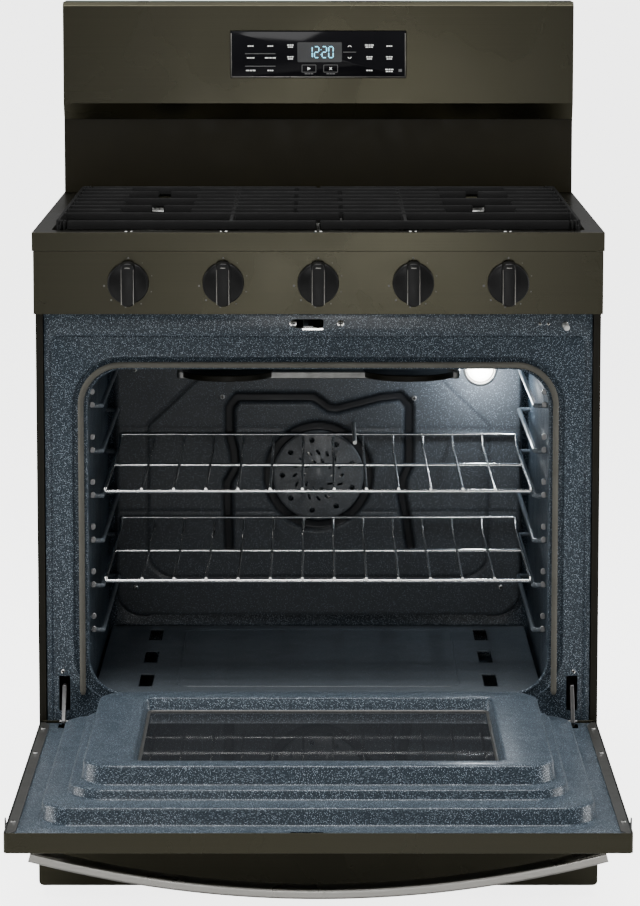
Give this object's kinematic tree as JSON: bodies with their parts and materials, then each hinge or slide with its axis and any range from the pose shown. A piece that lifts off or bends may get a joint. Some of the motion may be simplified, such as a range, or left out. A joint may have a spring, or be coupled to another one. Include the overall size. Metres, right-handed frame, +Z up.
{
  "type": "freestanding gas range",
  "caption": "Freestanding gas range with sealed burners, cast grates, turning knobs, a raised control console, a drop-down oven door, sliding wire racks and a storage drawer.",
  "frame": {"origin": "on the floor, under the middle of the range and its open door", "axes": "+Z up, -Y towards the cook at the front, +X to the cook's right"},
  "size_m": [0.76, 1.18, 1.19],
  "materials": {
    "black_stainless": "brushed dark stainless with a clear dark coating",
    "painted_black": "satin black paint",
    "enamel_blue": "dark blue-grey porcelain enamel with fine pale speckles",
    "enamel_black": "dark porcelain enamel with speckles",
    "cast_iron": "matte black enamelled cast iron",
    "chrome_wire": "bright chrome wire",
    "bare_steel": "plain galvanised or zinc-plated steel",
    "aluminium": "cast aluminium, matte",
    "handle_steel": "brushed stainless",
    "black_plastic": "satin black plastic",
    "black_glass": "glossy black glass",
    "clear_glass": "tinted oven window glass",
    "lamp_glass": "frosted lamp cover",
    "gasket_braid": "woven fibreglass braid",
    "glass_wool": "loose fibrous wool",
    "white_plastic": "white plastic"
  },
  "bodies": {
    "root": {"base_frame": "bare_steel", "side_panel_left": "painted_black", "side_panel_right": "painted_black", "rear_panel": "bare_steel", "oven_cavity": "enamel_blue", "oven_rear_baffle": "enamel_black", "oven_floor": "enamel_blue", "oven_gasket": "gasket_braid", "bake_burner": "bare_steel", "broil_burner": "bare_steel", "fan_motor": "bare_steel", "lamp_lens": "lamp_glass", "temperature_sensor": "bare_steel", "oven_insulation": "glass_wool", "cooktop": "black_stainless", "control_panel": "black_stainless", "gas_manifold": "aluminium", "backguard_body": "painted_black", "backguard_console": "black_stainless", "control_glass": "black_glass", "door_hinge_arm_left": "bare_steel", "door_hinge_arm_right": "bare_steel", "leveling_leg_front_left": "bare_steel", "leveling_leg_front_right": "bare_steel", "leveling_leg_rear_left": "bare_steel", "leveling_leg_rear_right": "bare_steel", "burner_head_left_front": "aluminium", "burner_cap_left_front": "cast_iron", "burner_head_left_rear": "aluminium", "burner_cap_left_rear": "cast_iron", "burner_head_centre": "aluminium", "burner_cap_centre": "cast_iron", "burner_head_right_front": "aluminium", "burner_cap_right_front": "cast_iron", "burner_head_right_rear": "aluminium", "burner_cap_right_rear": "cast_iron"},
    "door": {"door_outer_panel": "black_stainless", "door_outer_glass": "black_glass", "door_liner": "enamel_blue", "door_inner_glass": "clear_glass", "door_handle": "handle_steel"},
    "drawer": {"drawer_front": "black_stainless", "drawer_box": "bare_steel"},
    "rack_upper": {"oven_rack_upper": "chrome_wire"},
    "rack_lower": {"oven_rack_lower": "chrome_wire"},
    "fan": {"fan_blade": "bare_steel"},
    "latch": {"latch_hook": "bare_steel"},
    "door_switch": {"door_switch_button": "white_plastic"},
    "grate_l": {"grate_left": "cast_iron"},
    "grate_r": {"grate_right": "cast_iron"},
    "stem_left_front": {"valve_stem_left_front": "bare_steel"},
    "knob_left_front": {"knob_left_front": "black_plastic"},
    "stem_left_rear": {"valve_stem_left_rear": "bare_steel"},
    "knob_left_rear": {"knob_left_rear": "black_plastic"},
    "stem_centre": {"valve_stem_centre": "bare_steel"},
    "knob_centre": {"knob_centre": "black_plastic"},
    "stem_right_rear": {"valve_stem_right_rear": "bare_steel"},
    "knob_right_rear": {"knob_right_rear": "black_plastic"},
    "stem_right_front": {"valve_stem_right_front": "bare_steel"},
    "knob_right_front": {"knob_right_front": "black_plastic"}
  },
  "joints": [
    {"name": "door_hinge", "type": "hinge", "parent": "root", "child": "door", "pos_m": [0, -0.037, 0.236], "axis": [-1, 0, 0], "range_deg": [0, 90]},
    {"name": "drawer_slide", "type": "slide", "parent": "root", "child": "drawer", "axis": [0, 1, 0], "range_m": [-0.35, 0]},
    {"name": "rack_upper_slide", "type": "slide", "parent": "root", "child": "rack_upper", "axis": [0, 1, 0], "range_m": [-0.28, 0]},
    {"name": "rack_lower_slide", "type": "slide", "parent": "root", "child": "rack_lower", "axis": [0, 1, 0], "range_m": [-0.28, 0]},
    {"name": "fan_spin", "type": "hinge", "parent": "root", "child": "fan", "pos_m": [0, 0.435, 0.498], "axis": [0, 1, 0], "continuous": true},
    {"name": "latch_turn", "type": "hinge", "parent": "root", "child": "latch", "pos_m": [-0.016, 0.015, 0.777], "axis": [0, 0, 1], "range_deg": [0, 8]},
    {"name": "switch_push", "type": "slide", "parent": "root", "child": "door_switch", "axis": [0, 1, 0], "range_m": [0, 0.006]},
    {"name": "grate_left_lift", "type": "slide", "parent": "root", "child": "grate_l", "axis": [0, 0, 1], "range_m": [0, 0.08]},
    {"name": "grate_right_lift", "type": "slide", "parent": "root", "child": "grate_r", "axis": [0, 0, 1], "range_m": [0, 0.08]},
    {"name": "knob_push_left_front", "type": "slide", "parent": "root", "child": "stem_left_front", "axis": [0, 1, 0], "range_m": [0, 0.0045], "stiffness_N_per_m": 400},
    {"name": "knob_turn_left_front", "type": "hinge", "parent": "stem_left_front", "child": "knob_left_front", "pos_m": [-0.252, -0.065, 0.838], "axis": [0, -1, 0], "range_deg": [0, 270]},
    {"name": "knob_push_left_rear", "type": "slide", "parent": "root", "child": "stem_left_rear", "axis": [0, 1, 0], "range_m": [0, 0.0045], "stiffness_N_per_m": 400},
    {"name": "knob_turn_left_rear", "type": "hinge", "parent": "stem_left_rear", "child": "knob_left_rear", "pos_m": [-0.126, -0.065, 0.838], "axis": [0, -1, 0], "range_deg": [0, 270]},
    {"name": "knob_push_centre", "type": "slide", "parent": "root", "child": "stem_centre", "axis": [0, 1, 0], "range_m": [0, 0.0045], "stiffness_N_per_m": 400},
    {"name": "knob_turn_centre", "type": "hinge", "parent": "stem_centre", "child": "knob_centre", "pos_m": [0, -0.065, 0.838], "axis": [0, -1, 0], "range_deg": [0, 270]},
    {"name": "knob_push_right_rear", "type": "slide", "parent": "root", "child": "stem_right_rear", "axis": [0, 1, 0], "range_m": [0, 0.0045], "stiffness_N_per_m": 400},
    {"name": "knob_turn_right_rear", "type": "hinge", "parent": "stem_right_rear", "child": "knob_right_rear", "pos_m": [0.126, -0.065, 0.838], "axis": [0, -1, 0], "range_deg": [0, 270]},
    {"name": "knob_push_right_front", "type": "slide", "parent": "root", "child": "stem_right_front", "axis": [0, 1, 0], "range_m": [0, 0.0045], "stiffness_N_per_m": 400},
    {"name": "knob_turn_right_front", "type": "hinge", "parent": "stem_right_front", "child": "knob_right_front", "pos_m": [0.252, -0.065, 0.838], "axis": [0, -1, 0], "range_deg": [0, 270]}
  ],
  "couplings": [
    {"joint": "switch_push", "follows": "door_hinge", "m_per_rad": 0.0038}
  ]
}
